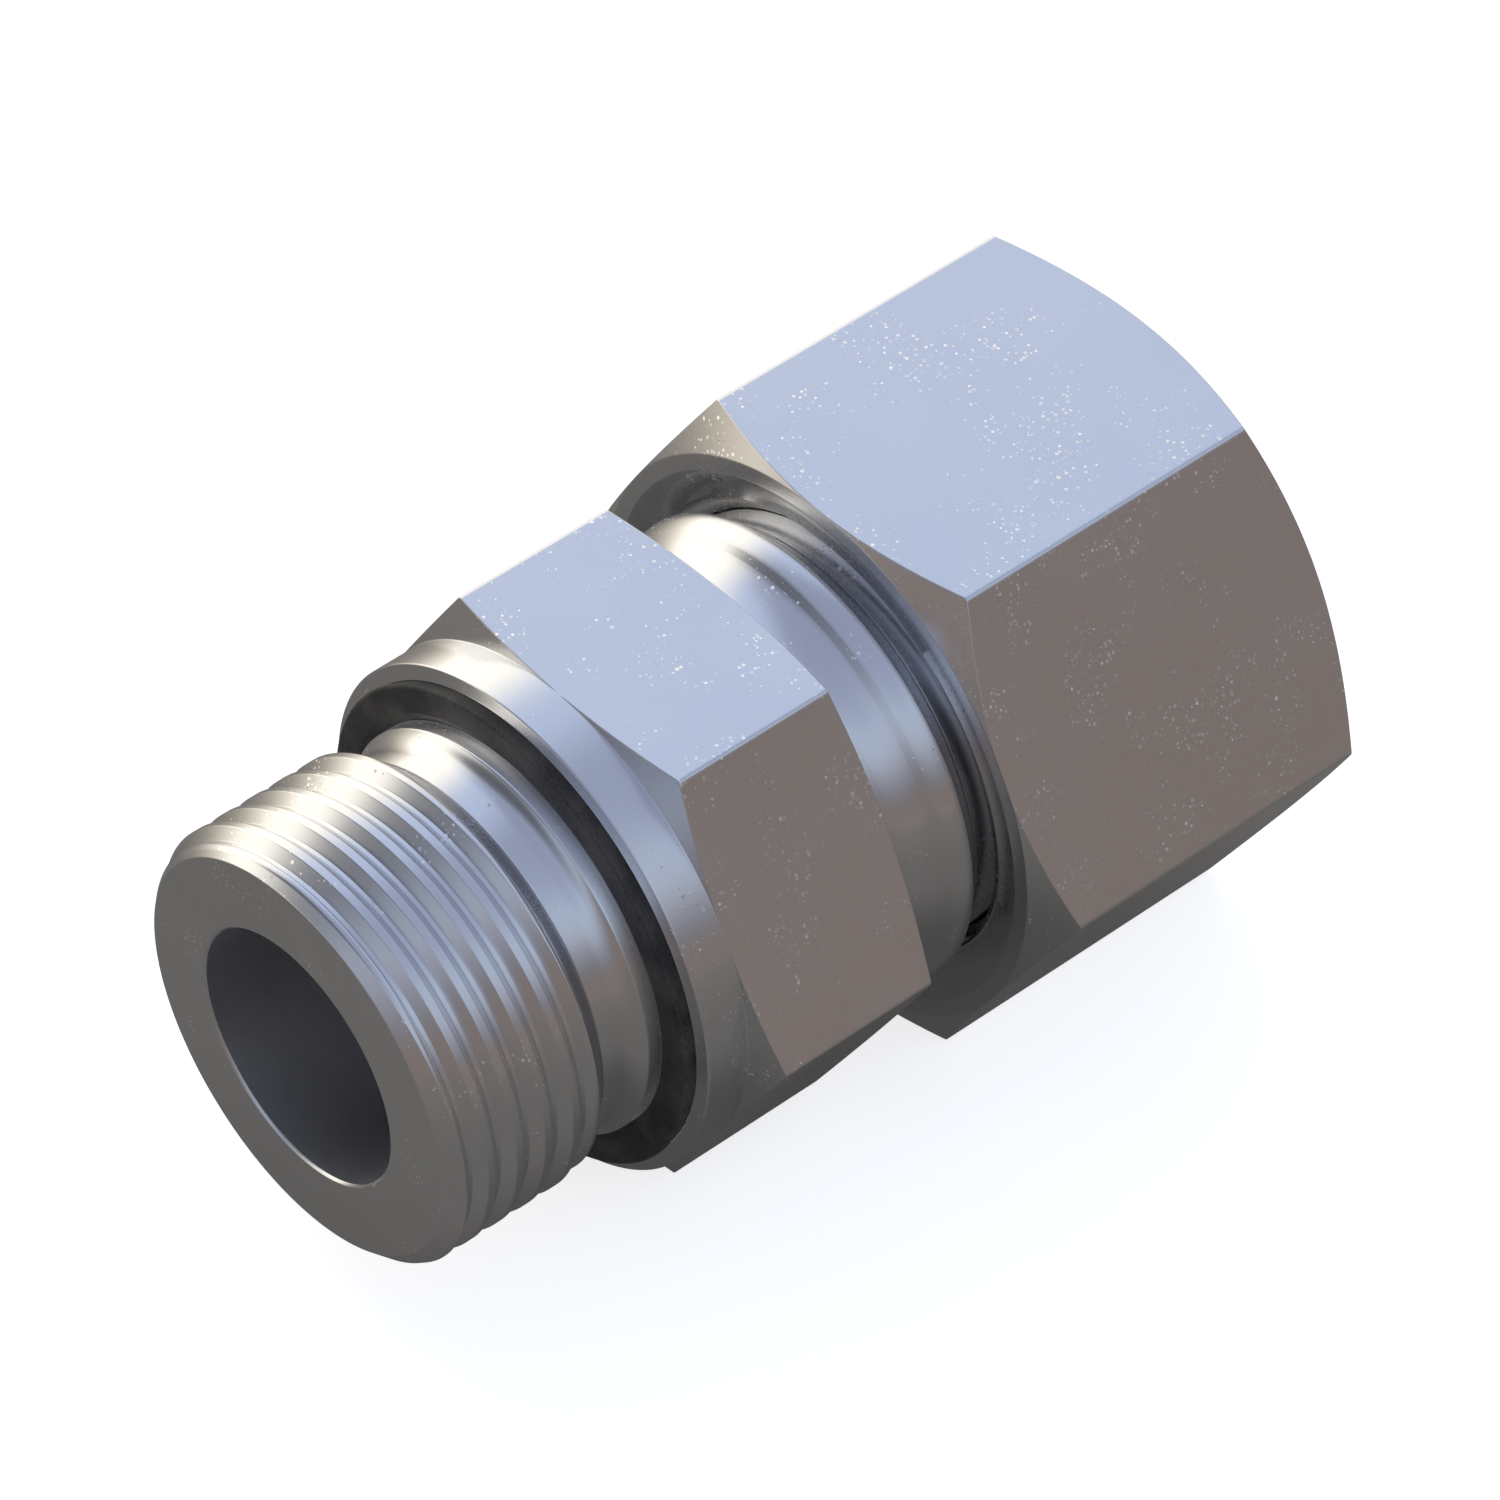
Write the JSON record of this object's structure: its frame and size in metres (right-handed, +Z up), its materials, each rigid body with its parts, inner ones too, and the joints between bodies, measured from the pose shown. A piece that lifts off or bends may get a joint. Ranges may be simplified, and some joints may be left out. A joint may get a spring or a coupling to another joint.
{
  "type": "male stud coupling",
  "caption": "Straight hydraulic stud coupling: hexagon body with a sealed male stud, cutting ring and union nut for a plain tube end.",
  "frame": {"origin": "on the coupling's axis, in the plane of the port face", "axes": "+X along the axis towards the tube, the stud points to -X, +Z up with a hexagon flat facing up and down"},
  "size_m": [0.0618, 0.0414, 0.036],
  "materials": {
    "plated_steel": "bright zinc plated turned steel, satin",
    "seal_rubber": "matt black elastomer"
  },
  "bodies": {
    "body": {"stud_body": "plated_steel", "seal_ring": "seal_rubber"},
    "ring": {"cutting_ring": "plated_steel"},
    "nut": {"union_nut": "plated_steel"}
  },
  "joints": [
    {"name": "nut_travel", "type": "slide", "parent": "body", "child": "ring", "axis": [1, 0, 0], "range_m": [0, 0.0141]},
    {"name": "nut_turn", "type": "hinge", "parent": "ring", "child": "nut", "pos_m": [0.034, 0, 0], "axis": [1, 0, 0], "range_deg": [0, 2520]}
  ],
  "couplings": [
    {"joint": "nut_travel", "follows": "nut_turn", "m_per_rad": 0.00031831}
  ]
}
